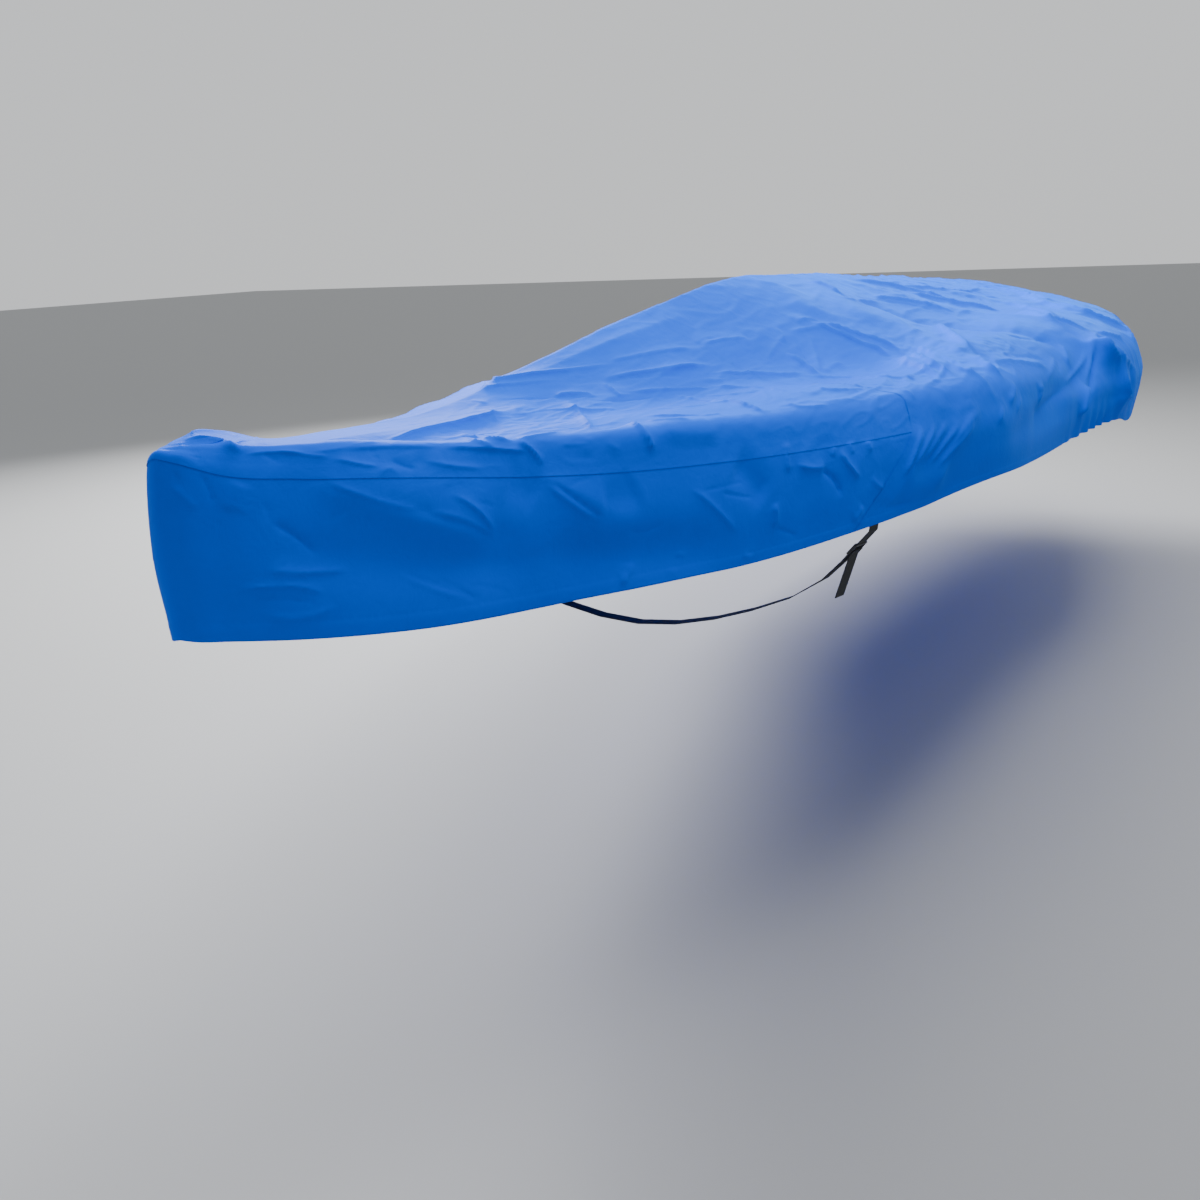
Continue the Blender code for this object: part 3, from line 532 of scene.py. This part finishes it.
def crease_paths():
    """Each crease as points on the cloth, its width there and its row."""
    tree = marking_tree()
    paths = []
    for crease in CREASES:
        hits = []
        for share in np.linspace(0, 1, CREASE_STEPS):
            pulls = 2 * (share - 0.5) * (share - 1), 4 * share * (1 - share), 2 * share * (share - 0.5)
            u = pulls[0] * crease.u0 + pulls[1] * crease.u1 + pulls[2] * crease.u2
            v = pulls[0] * crease.v0 + pulls[1] * crease.v1 + pulls[2] * crease.v2
            hit = tree.ray_cast(CAMERA_AT, view_ray(u, v))[0]
            if hit is not None:
                hits.append(tuple(hit))
        if len(hits) > CREASE_STEPS / 2:
            path = np.array(hits)
            paths.append((path, width_on_cloth(tree, crease, path), crease))
        else:
            print("crease off the cloth:", crease)
    return paths


PATHS = crease_paths()


def crease_height(points, normal):
    """How far the creases push the cloth out at each point."""
    total = np.zeros(len(points))
    for path, width, crease in PATHS:
        reach = width * CREASE_REACH
        near = np.all((points > path.min(0) - reach) & (points < path.max(0) + reach), axis=1)
        if not near.any():
            continue
        here, out = points[near], normal[near]
        best = np.full(len(here), np.inf)
        signed = np.zeros(len(here))
        place = np.zeros(len(here))
        lengths = np.linalg.norm(np.diff(path, axis=0), axis=1)
        travelled = np.concatenate(([0], np.cumsum(lengths)))
        for i, run in enumerate(np.diff(path, axis=0)):
            share = np.clip((here - path[i]) @ run / max(run @ run, SMALLEST), 0, 1)
            away = here - path[i] - share[:, None] * run
            distance = np.linalg.norm(away, axis=1)
            closer = distance < best
            best = np.where(closer, distance, best)
            sign = np.sign(np.sum(np.cross(run, out) * away, axis=1))
            signed = np.where(closer, sign, signed)
            place = np.where(closer, travelled[i] + share * lengths[i], place)
        place /= travelled[-1]
        fade = np.clip(np.minimum(place, 1 - place) / CREASE_FADE, 0, 1)
        fade = fade * fade * (3 - 2 * fade)
        if crease.height < 0 and crease.width < BROAD:
            width = width * TROUGH_SHARE
        spread = width * (1 - crease.lean * signed * LEAN)
        crest = CRISP * width
        rounded = np.sqrt(best**2 + crest**2) - crest
        body = BODY_SHARE * np.exp(-rounded / spread)
        profile = body + (1 - BODY_SHARE) * np.exp(-rounded / (CREST_SHARE * spread))
        if crease.width >= BROAD:
            profile = BROAD_HEIGHT * np.exp(-(best / (BROAD_SPREAD * spread)) ** 2)
        height = crease.height / 1000 * width / EVEN_WIDTH
        height = np.clip(height, -TALLEST, TALLEST)
        total[near] += height * fade * profile
    return total


# ---------------------------------------------------------------- wrinkles
# A patch of small uneven wrinkles: middle and reach say where it lies, cell is
# the size of a wrinkle along x, y and z, and height is metres.
Patch = namedtuple("Patch", "middle reach cell height")

PATCHES = (
    Patch((1.60, -0.46, -0.08), (0.75, 0.16, 0.08), (0.140, 0.040, 0.060), 0.0038),
    Patch((1.15, -0.20, 0.00), (0.50, 0.16, 0.10), (0.200, 0.045, 0.060), 0.0028),
    Patch((2.60, -0.35, 0.00), (0.70, 0.40, 0.15), (0.260, 0.080, 0.080), 0.0030),
    Patch((0.55, -0.12, -0.04), (0.35, 0.12, 0.06), (0.090, 0.030, 0.040), 0.0012),
    Patch((2.70, -0.78, -0.24), (0.70, 0.10, 0.12), (0.090, 0.090, 0.160), 0.0020),
    Patch((2.00, 0.40, -0.05), (1.20, 0.45, 0.20), (0.180, 0.090, 0.080), 0.0060),
    Patch((3.40, 0.00, -0.05), (0.70, 0.80, 0.25), (0.160, 0.110, 0.100), 0.0060),
    Patch((1.60, 0.62, -0.24), (1.20, 0.15, 0.12), (0.070, 0.070, 0.180), 0.0040),
    Patch((4.10, 0.00, -0.20), (0.30, 0.80, 0.20), (0.080, 0.080, 0.200), 0.0060),
)
FAINTEST = 0.03             # a patch ends where its strength falls below this
PATCH_SHIFT = 7.3           # so that no two patches repeat each other
FINE_SCALE, FINE_SHIFT = 2.1, 3.7       # of the finer wrinkles
FINE_SHARE = 0.5
COARSE_THIN, FINE_THIN = 4.5, 5.0       # how thin the wrinkles' ridges are
SWELL_CELL = 0.30           # slow unevenness over all the cloth
SWELL_HEIGHT = 0.0035


def patch_height(points):
    """Small wrinkles in their patches, and a slow swell everywhere."""
    total = np.zeros(len(points))
    for number, patch in enumerate(PATCHES):
        away = (points - patch.middle) / patch.reach
        mask = np.exp(-np.sum(away**2, axis=1))
        near = np.nonzero(mask > FAINTEST)[0]
        cell = points[near] / patch.cell + number * PATCH_SHIFT
        coarse = np.array([abs(noise.noise(Vector(p))) for p in cell])
        fine = np.array([abs(noise.noise(Vector(p))) for p in cell * FINE_SCALE + FINE_SHIFT])
        lines = np.maximum(0, 1 - COARSE_THIN * coarse)
        lines += FINE_SHARE * np.maximum(0, 1 - FINE_THIN * fine)
        total[near] += patch.height * mask[near] * lines
    swell = np.array([noise.noise(Vector(p)) for p in points / SWELL_CELL])
    return total + SWELL_HEIGHT * swell


def dressed(side, along, up, lift=0.0):
    """The cloth as it shows: plain surface, folds, creases, wrinkles and lift."""
    shape = np.broadcast(along, up).shape
    along = np.broadcast_to(along, shape).ravel()
    up = np.broadcast_to(up, shape).ravel()
    points, normal = surface_and_normal(side, along, up)
    height = fold_height(points)
    folded = points + normal * height[:, None]
    height = height + crease_height(folded, normal) + patch_height(points)
    height = height + hem_gathers(points, up) + hem_band(points, up)
    height = height + np.broadcast_to(lift, shape).ravel()
    return (points + normal * height[:, None] - ORIGIN).reshape(shape + (3,))


def hem_band(points, up):
    """The double cloth of the turned hem, drawn in along its row of stitches."""
    above = up / AT_SEAM * SKIRT_HEIGHT
    band = HEM_THICK * np.clip((HEM_STITCH + HEM_PAST - above) / HEM_STEP, 0, 1)
    dip = STITCH_DIP * np.exp(-((above - HEM_STITCH) / STITCH_WIDTH) ** 2)
    wave = np.sin((points[:, 0] + np.abs(points[:, 1])) * 2 * np.pi / PUCKER_LENGTH)
    pucker = 1 - PUCKER_SHARE + PUCKER_SHARE * wave
    return band - dip * (1 + pucker)


# the elastic gathers the hem most just aft of the middle: places aft of the bow,
# and the share of the gathers' height at each
GATHER_PLACES = (2.05, 2.25, 2.46, 2.57, 4.30)
GATHER_SHARES = (0.0, 1.0, 1.0, 0.05, 0.05)
GATHER_LENGTH = 0.040
GATHER_HEIGHT = 0.0034
GATHER_UP = 0.07                        # how far up the rib the gathers reach
GATHER_TURN = 0.7                       # how much the beam adds to a gather's place
GATHER_DRIFT, DRIFT_RATE = 1.7, 0.61    # the gathers' spacing drifts to and fro
GATHER_SLOPE = 3.0                      # turn of the gathers for each metre of beam


def hem_gathers(points, up):
    """Uneven gathers along the elasticated hem, tallest just aft of the middle."""
    strength = np.interp(points[:, 0], GATHER_PLACES, GATHER_SHARES)
    fade = np.exp(-up / GATHER_UP)
    place = (points[:, 0] + GATHER_TURN * np.abs(points[:, 1])) / GATHER_LENGTH
    drift = GATHER_DRIFT * np.sin(place * DRIFT_RATE)
    wave = np.sin(place * np.pi + drift + points[:, 1] * GATHER_SLOPE)
    return GATHER_HEIGHT * strength * fade * wave


# ---------------------------------------------------------------- panels
LAP = 0.008                 # how far one panel laps over the next at a seam
LAP_LIFT = 0.0007           # and how far it stands off it
DECK_LIFT = 0.25            # share of that lift over the deck
FADE_LIFT = 0.018           # the lift fades over this distance from the lapped edge
LIFT_POWER = 0.7            # below 1 it fades late
DECK_UNIT, SKIRT_UNIT = 0.5, 0.6        # metres in one unit up the rib, at deck and at skirt
TUCK = 0.020                # how far an under edge runs on beneath a panel
TUCK_UP = 0.018             # the same, up the rib at the long seam
TUCK_DIP = 0.0012           # and how far it lies below
SKIRT_HEIGHT = 0.165        # usual height of the skirt, for spacing its hem rows
HEM_ROWS = (0.0, 0.002, 0.005, 0.009, 0.013, 0.016, 0.018, 0.020, 0.023, 0.027)
HEM_STITCH = 0.018          # from the hem's edge up to its row of stitches
HEM_THICK = 0.0007          # the turned hem stands this much prouder
HEM_PAST, HEM_STEP = 0.004, 0.003       # the hem ends this far past its stitches, over a step
STITCH_DIP = 0.0004         # the stitches pull the cloth in this far
STITCH_WIDTH = 0.0022
PUCKER_LENGTH = 0.013       # from one pucker of the stitches to the next
PUCKER_SHARE = 0.4
# the turned hem's inside rows: how far behind the cloth and how far up from the edge
Turn = namedtuple("Turn", "behind up")
HEM_TURNS = (
    Turn(0.0026, 0.022),
    Turn(0.0026, 0.003),
    Turn(0.0013, -0.0012),
)
WELD = 1e-6                 # points this close become one
RIB_POINTS = 200            # for measuring the length of a rib
# Grids.  Growth is how many times longer the last step along is than the first,
# and middle is where along the edge the steps up the rib are made even.
DECK_ALONG, DECK_GROWTH, DECK_MIDDLE = 290, 1.4, 0.9
DECK_UP_PORT, DECK_UP_STARBOARD = 150, 74
SKIRT_ALONG_PORT, SKIRT_ALONG_STARBOARD, SKIRT_GROWTH = 330, 190, 1.8
SKIRT_UP = 54
AFT_ALONG, AFT_GROWTH, AFT_MIDDLE = 460, 2.3, 2.0
AFT_SIDE_PORT, AFT_TOP_PORT = 18, 126
AFT_SIDE_STARBOARD, AFT_TOP_STARBOARD = 8, 30


def grid_object(name, points, finish):
    """A smooth sheet from a grid of points (rows, columns, 3)."""
    rows, columns = points.shape[:2]
    number = np.arange(rows * columns).reshape(rows, columns)
    faces = np.stack((number[:-1, :-1], number[1:, :-1], number[1:, 1:], number[:-1, 1:]), axis=-1)
    mesh = bpy.data.meshes.new(name)
    mesh.from_pydata(points.reshape(-1, 3).tolist(), [], faces.reshape(-1, 4).tolist())
    work = bmesh.new()
    work.from_mesh(mesh)
    bmesh.ops.remove_doubles(work, verts=work.verts, dist=WELD)
    bmesh.ops.recalc_face_normals(work, faces=work.faces)
    highest = max(work.faces, key=lambda face: face.calc_center_median().z)
    if highest.normal.z < 0:
        bmesh.ops.reverse_faces(work, faces=work.faces)
    work.to_mesh(mesh)
    work.free()
    mesh.shade_smooth()
    mesh.materials.append(finish)
    made = bpy.data.objects.new(name, mesh)
    bpy.context.scene.collection.objects.link(made)
    return made


def hem_rows(points):
    """Add the turned hem's inside rows before the first row of a grid (columns = up)."""
    edge, above = points[:, 0], points[:, 2]
    rise = above - edge
    rise /= np.linalg.norm(rise, axis=1, keepdims=True)
    along = np.gradient(edge, axis=0)
    along /= np.linalg.norm(along, axis=1, keepdims=True)
    out = np.cross(along, rise)
    from_middle = edge * (0, 1, 1)
    out *= np.sign(np.sum(out * from_middle, axis=1, keepdims=True))
    return np.stack([edge - out * turn.behind + rise * turn.up for turn in HEM_TURNS], axis=1)


def even_ups(first, steps, at_along):
    """Places up the rib to the ridge, evenly spaced on the rib at one place along."""
    fine = np.linspace(first, AT_RIDGE, RIB_POINTS)
    rib = plain_surface(PORT, np.full(RIB_POINTS, at_along), fine)
    length = np.concatenate(([0], np.cumsum(np.linalg.norm(np.diff(rib, axis=0), axis=1))))
    return np.interp(np.linspace(0, length[-1], steps + 1), length, fine)


def skirt_ups(steps):
    """Places from the hem to the seam, close together in the turned hem."""
    hem = np.array(HEM_ROWS) / SKIRT_HEIGHT * AT_SEAM
    return np.concatenate((hem, np.linspace(hem[-1], AT_SEAM, steps + 1)[1:]))


def growing(steps, ratio):
    """Shares from 0 to 1 whose last step is ratio times the first."""
    t = np.linspace(0, 1, steps + 1)[:, None]
    k = (ratio - 1) / (ratio + 1)
    return t * (1 - k) + k * t * t


def edge_lift(distance):
    """The lift of a panel's lapped edge, a distance in from that edge."""
    return LAP_LIFT * np.clip(1 - distance / FADE_LIFT, 0, 1) ** LIFT_POWER


def halves(along, port_up, starboard_up, lift_of):
    """A sheet from the port side over the ridge to the starboard side."""
    sides = []
    for side, up in ((PORT, port_up), (STARBOARD, starboard_up)):
        places = along(up)
        sides.append(dressed(side, places, up[None, :] + 0 * places, lift_of(places, up)))
    return sides


def tucked(past):
    """The dip of an edge that runs on under the next panel, past their seam."""
    return -TUCK_DIP * np.clip((past + LAP) / (TUCK + LAP), 0, 1)


def bow_deck_points():
    """The bow deck, lapped a little over the skirt and tucked under the aft panel."""
    port, starboard = halves(
        lambda up: growing(DECK_ALONG, DECK_GROWTH) * (cross_seam(up) + TUCK)[None, :],
        even_ups(AT_SEAM - LAP, DECK_UP_PORT, DECK_MIDDLE),
        even_ups(AT_SEAM - LAP, DECK_UP_STARBOARD, DECK_MIDDLE),
        lambda along, up: edge_lift((up - AT_SEAM + LAP) * DECK_UNIT)[None, :]
        + tucked(along - cross_seam(up)[None, :]))
    return np.concatenate((port, starboard[:, -2::-1]), axis=1)


def bow_skirt_points():
    """The skirt from the port end of the cross seam, round the stem, to starboard,
    tucked under the deck and the aft panel."""
    up = np.append(skirt_ups(SKIRT_UP), (AT_SEAM + TUCK_UP / 2, AT_SEAM + TUCK_UP))
    ends = []
    for side, steps in ((PORT, SKIRT_ALONG_PORT), (STARBOARD, SKIRT_ALONG_STARBOARD)):
        along = growing(steps, SKIRT_GROWTH) * (cross_seam(up) + TUCK)[None, :]
        lift = np.minimum(tucked(along - cross_seam(up)[None, :]),
                          tucked((up - AT_SEAM)[None, :] * SKIRT_UNIT + 0 * along))
        ends.append(dressed(side, along, up[None, :] + 0 * along, lift))
    points = np.concatenate((ends[0][::-1], ends[1][1:]), axis=0)
    return np.concatenate((hem_rows(points), points), axis=1)


def aft_panel_points():
    """The aft panel, from hem to hem and over the transom."""
    port_up, starboard_up = (
        np.concatenate((skirt_ups(below), even_ups(AT_SEAM, above, AFT_MIDDLE)[1:]))
        for below, above in ((AFT_SIDE_PORT, AFT_TOP_PORT), (AFT_SIDE_STARBOARD, AFT_TOP_STARBOARD)))

    def along(up):
        first = (cross_seam(up) - LAP)[None, :]
        return first + growing(AFT_ALONG, AFT_GROWTH) * (EDGE_LENGTH - first)

    port, starboard = halves(
        along, port_up, starboard_up,
        lambda places, up: edge_lift(places - (cross_seam(up) - LAP)[None, :])
        * np.interp(up, (AT_EDGE, AT_SHOULDER), (1.0, DECK_LIFT))[None, :])
    inside_port = hem_rows(port)
    inside_starboard = hem_rows(starboard)[:, ::-1]
    return np.concatenate((inside_port, port, starboard[:, -2::-1], inside_starboard), axis=1)


# ---------------------------------------------------------------- materials
BLUE = (0.000, 0.132, 1.000, 1.0)
BLUE_DEEP = (0.000, 0.114, 0.900, 1.0)
BLUE_SHEEN = (0.080, 0.400, 1.000, 1.0)
BLACK = (0.008, 0.009, 0.012, 1.0)
PALER_BLACK = (0.030, 0.033, 0.040, 1.0)
BUCKLE_BLACK = (0.012, 0.013, 0.016, 1.0)
FLOOR_GREY = (0.36, 0.365, 0.37, 1.0)
ROOM_WHITE = (0.96, 0.98, 1.0, 1.0)


def new_material(name, roughness):
    """A node material; returns it with its node tree and shader."""
    made = bpy.data.materials.new(name)
    made.use_nodes = True
    shader = made.node_tree.nodes["Principled BSDF"]
    shader.inputs["Roughness"].default_value = roughness
    return made, made.node_tree, shader


def add_node(tree, kind, **settings):
    """Add a node and set its named inputs."""
    node = tree.nodes.new(kind)
    for key, value in settings.items():
        node.inputs[key].default_value = value
    return node


def cover_cloth():
    """Proofed polyester: a plain weave under a thin smooth coating."""
    made, tree, shader = new_material("proofed_polyester", 0.60)
    shader.inputs["Specular IOR Level"].default_value = 0.01
    shader.inputs["Sheen Weight"].default_value = 0.30
    shader.inputs["Sheen Roughness"].default_value = 0.35
    shader.inputs["Sheen Tint"].default_value = BLUE_SHEEN
    where = tree.nodes.new("ShaderNodeTexCoord")
    clouds = add_node(tree, "ShaderNodeTexNoise", Scale=3.0, Detail=4.0, Roughness=0.55)
    tree.links.new(where.outputs["Object"], clouds.inputs["Vector"])
    ramp = tree.nodes.new("ShaderNodeValToRGB")
    ramp.color_ramp.elements[0].position = 0.35
    ramp.color_ramp.elements[0].color = BLUE_DEEP
    ramp.color_ramp.elements[1].position = 0.70
    ramp.color_ramp.elements[1].color = BLUE
    tree.links.new(clouds.outputs["Fac"], ramp.inputs["Fac"])
    tree.links.new(ramp.outputs["Color"], shader.inputs["Base Color"])
    crinkle = add_node(tree, "ShaderNodeTexNoise", Scale=38.0, Detail=6.0, Roughness=0.6,
                       Distortion=0.6)
    tree.links.new(where.outputs["Object"], crinkle.inputs["Vector"])
    weave = add_node(tree, "ShaderNodeTexVoronoi", Scale=900.0)
    tree.links.new(where.outputs["Object"], weave.inputs["Vector"])
    soft = add_node(tree, "ShaderNodeBump", Strength=0.22, Distance=0.004)
    fine = add_node(tree, "ShaderNodeBump", Strength=0.10, Distance=0.0004)
    tree.links.new(crinkle.outputs["Fac"], soft.inputs["Height"])
    tree.links.new(weave.outputs["Distance"], fine.inputs["Height"])
    tree.links.new(soft.outputs["Normal"], fine.inputs["Normal"])
    tree.links.new(fine.outputs["Normal"], shader.inputs["Normal"])
    return made


def black_webbing():
    """Woven polypropylene webbing, with its ribs across the strap."""
    made, tree, shader = new_material("black_webbing", 0.75)
    where = tree.nodes.new("ShaderNodeTexCoord")
    ribs = tree.nodes.new("ShaderNodeTexWave")
    ribs.bands_direction = "DIAGONAL"
    ribs.inputs["Scale"].default_value = 300.0
    tree.links.new(where.outputs["Object"], ribs.inputs["Vector"])
    ramp = tree.nodes.new("ShaderNodeValToRGB")
    ramp.color_ramp.elements[0].color = BLACK
    ramp.color_ramp.elements[1].color = PALER_BLACK
    tree.links.new(ribs.outputs["Fac"], ramp.inputs["Fac"])
    tree.links.new(ramp.outputs["Color"], shader.inputs["Base Color"])
    bump = add_node(tree, "ShaderNodeBump", Strength=0.5, Distance=0.0005)
    tree.links.new(ribs.outputs["Fac"], bump.inputs["Height"])
    tree.links.new(bump.outputs["Normal"], shader.inputs["Normal"])
    return made


def buckle_plastic():
    """Black moulded acetal with a fine grain."""
    made, tree, shader = new_material("black_buckle", 0.38)
    shader.inputs["Base Color"].default_value = BUCKLE_BLACK
    where = tree.nodes.new("ShaderNodeTexCoord")
    grain = add_node(tree, "ShaderNodeTexNoise", Scale=900.0, Detail=3.0)
    tree.links.new(where.outputs["Object"], grain.inputs["Vector"])
    bump = add_node(tree, "ShaderNodeBump", Strength=0.12, Distance=0.0003)
    tree.links.new(grain.outputs["Fac"], bump.inputs["Height"])
    tree.links.new(bump.outputs["Normal"], shader.inputs["Normal"])
    return made


# ---------------------------------------------------------------- stage
FLOOR_Z = -0.95             # the floor lies this far under the bow's top
FLOOR_X = 2.0               # its middle, aft of the origin
BACKDROP_WAY = (0.60, 0.28, 0.75)       # the room is bright overhead and past the stern
ROOM_DIM, ROOM_BRIGHT = 0.26, 0.80
FACING_DIM, FACING_BRIGHT = -0.5, 0.75  # how far a way faces it where the room is dim and bright
FLOOR_SIZE = 60
Light = namedtuple("Light", "name place target size power spread")
LIGHTS = (
    Light("top_light", (0.5, 0.1, 2.3), (0.4, 0.0, 0.0), (5.4, 2.0), 48.0, 140),
    # low and beyond the stern, it grazes the creases
    Light("far_light", (3.6, 4.0, 2.5), (0.3, 0.0, 0.0), (3.0, 1.6), 560.0, 140),
    Light("flank_light", (0.4, -1.4, 3.4), (0.2, 0.0, -0.1), (4.5, 1.2), 34.0, 100),
)


def add_stage():
    """A grey floor, soft lights and a pale room."""
    bpy.ops.mesh.primitive_plane_add(size=FLOOR_SIZE, location=(FLOOR_X, 0.0, FLOOR_Z - ORIGIN[2]))
    floor = bpy.context.object
    floor.name = "floor"
    made, _, shader = new_material("grey_floor", 0.8)
    shader.inputs["Base Color"].default_value = FLOOR_GREY
    floor.data.materials.append(made)
    world = bpy.data.worlds.new("pale_room")
    world.use_nodes = True
    tree = world.node_tree
    background = tree.nodes["Background"]
    background.inputs["Color"].default_value = ROOM_WHITE
    way = tree.nodes.new("ShaderNodeTexCoord")
    facing = tree.nodes.new("ShaderNodeVectorMath")
    facing.operation = "DOT_PRODUCT"
    facing.inputs[1].default_value = BACKDROP_WAY
    tree.links.new(way.outputs["Generated"], facing.inputs[0])
    level = tree.nodes.new("ShaderNodeMapRange")
    level.interpolation_type = "SMOOTHSTEP"
    level.inputs["From Min"].default_value = FACING_DIM
    level.inputs["From Max"].default_value = FACING_BRIGHT
    level.inputs["To Min"].default_value = ROOM_DIM
    level.inputs["To Max"].default_value = ROOM_BRIGHT
    tree.links.new(facing.outputs["Value"], level.inputs["Value"])
    tree.links.new(level.outputs["Result"], background.inputs["Strength"])
    bpy.context.scene.world = world
    for light in LIGHTS:
        add_area(light)


def add_area(light):
    """A soft light aimed at a point, longer across its aim than it is tall."""
    data = bpy.data.lights.new(light.name, "AREA")
    data.shape = "RECTANGLE"
    data.size, data.size_y = light.size
    data.energy = light.power
    data.spread = np.radians(light.spread)
    made = bpy.data.objects.new(light.name, data)
    ahead = (Vector(light.target) - Vector(light.place)).normalized()
    across = Vector((1, 0, 0))
    across = (across - ahead * across.dot(ahead)).normalized()
    made.matrix_world = Matrix.Translation(light.place) @ Matrix(
        (across, ahead.cross(across) * -1, ahead * -1)).transposed().to_4x4()
    bpy.context.scene.collection.objects.link(made)


def add_camera():
    """The photograph's camera."""
    data = bpy.data.cameras.new("camera")
    data.sensor_width = SENSOR_MM
    data.lens = SENSOR_MM * FOCAL_PIXELS / PICTURE
    data.shift_x = (PICTURE / 2 - AXIS_U) / PICTURE
    data.shift_y = (AXIS_V - PICTURE / 2) / PICTURE
    data.clip_start = 0.05
    data.clip_end = 100
    made = bpy.data.objects.new("camera", data)
    turn = Matrix((CAMERA_RIGHT, CAMERA_UP, -CAMERA_AHEAD)).transposed().to_4x4()
    made.matrix_world = Matrix.Translation(CAMERA_AT - Vector(ORIGIN)) @ turn
    bpy.context.scene.collection.objects.link(made)
    bpy.context.scene.camera = made


# ---------------------------------------------------------------- making
Panel = namedtuple("Panel", "node points flat area")
PANELS = (
    Panel("bow_deck", bow_deck_points, (1.05, 1.30), 0.76),
    Panel("bow_skirt", bow_skirt_points, (0.22, 2.80), 0.46),
    Panel("aft_panel", aft_panel_points, (2.60, 3.30), 5.80),
)


def main():
    """Lay the three panels, give the strap and buckle their materials, and set the stage."""
    cloth = cover_cloth()
    for panel in PANELS:
        piece = grid_object(panel.node + "_cloth", panel.points(), cloth)
        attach(piece, "root")
        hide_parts(panel.node)
    webbing, plastic = black_webbing(), buckle_plastic()
    for node, finish in (("strap_port", webbing), ("strap_tail", webbing),
                         ("strap_under", webbing), ("strap_buckle", plastic)):
        bpy.data.objects[node].data.materials.clear()
        bpy.data.objects[node].data.materials.append(finish)
    add_stage()
    add_camera()


main()
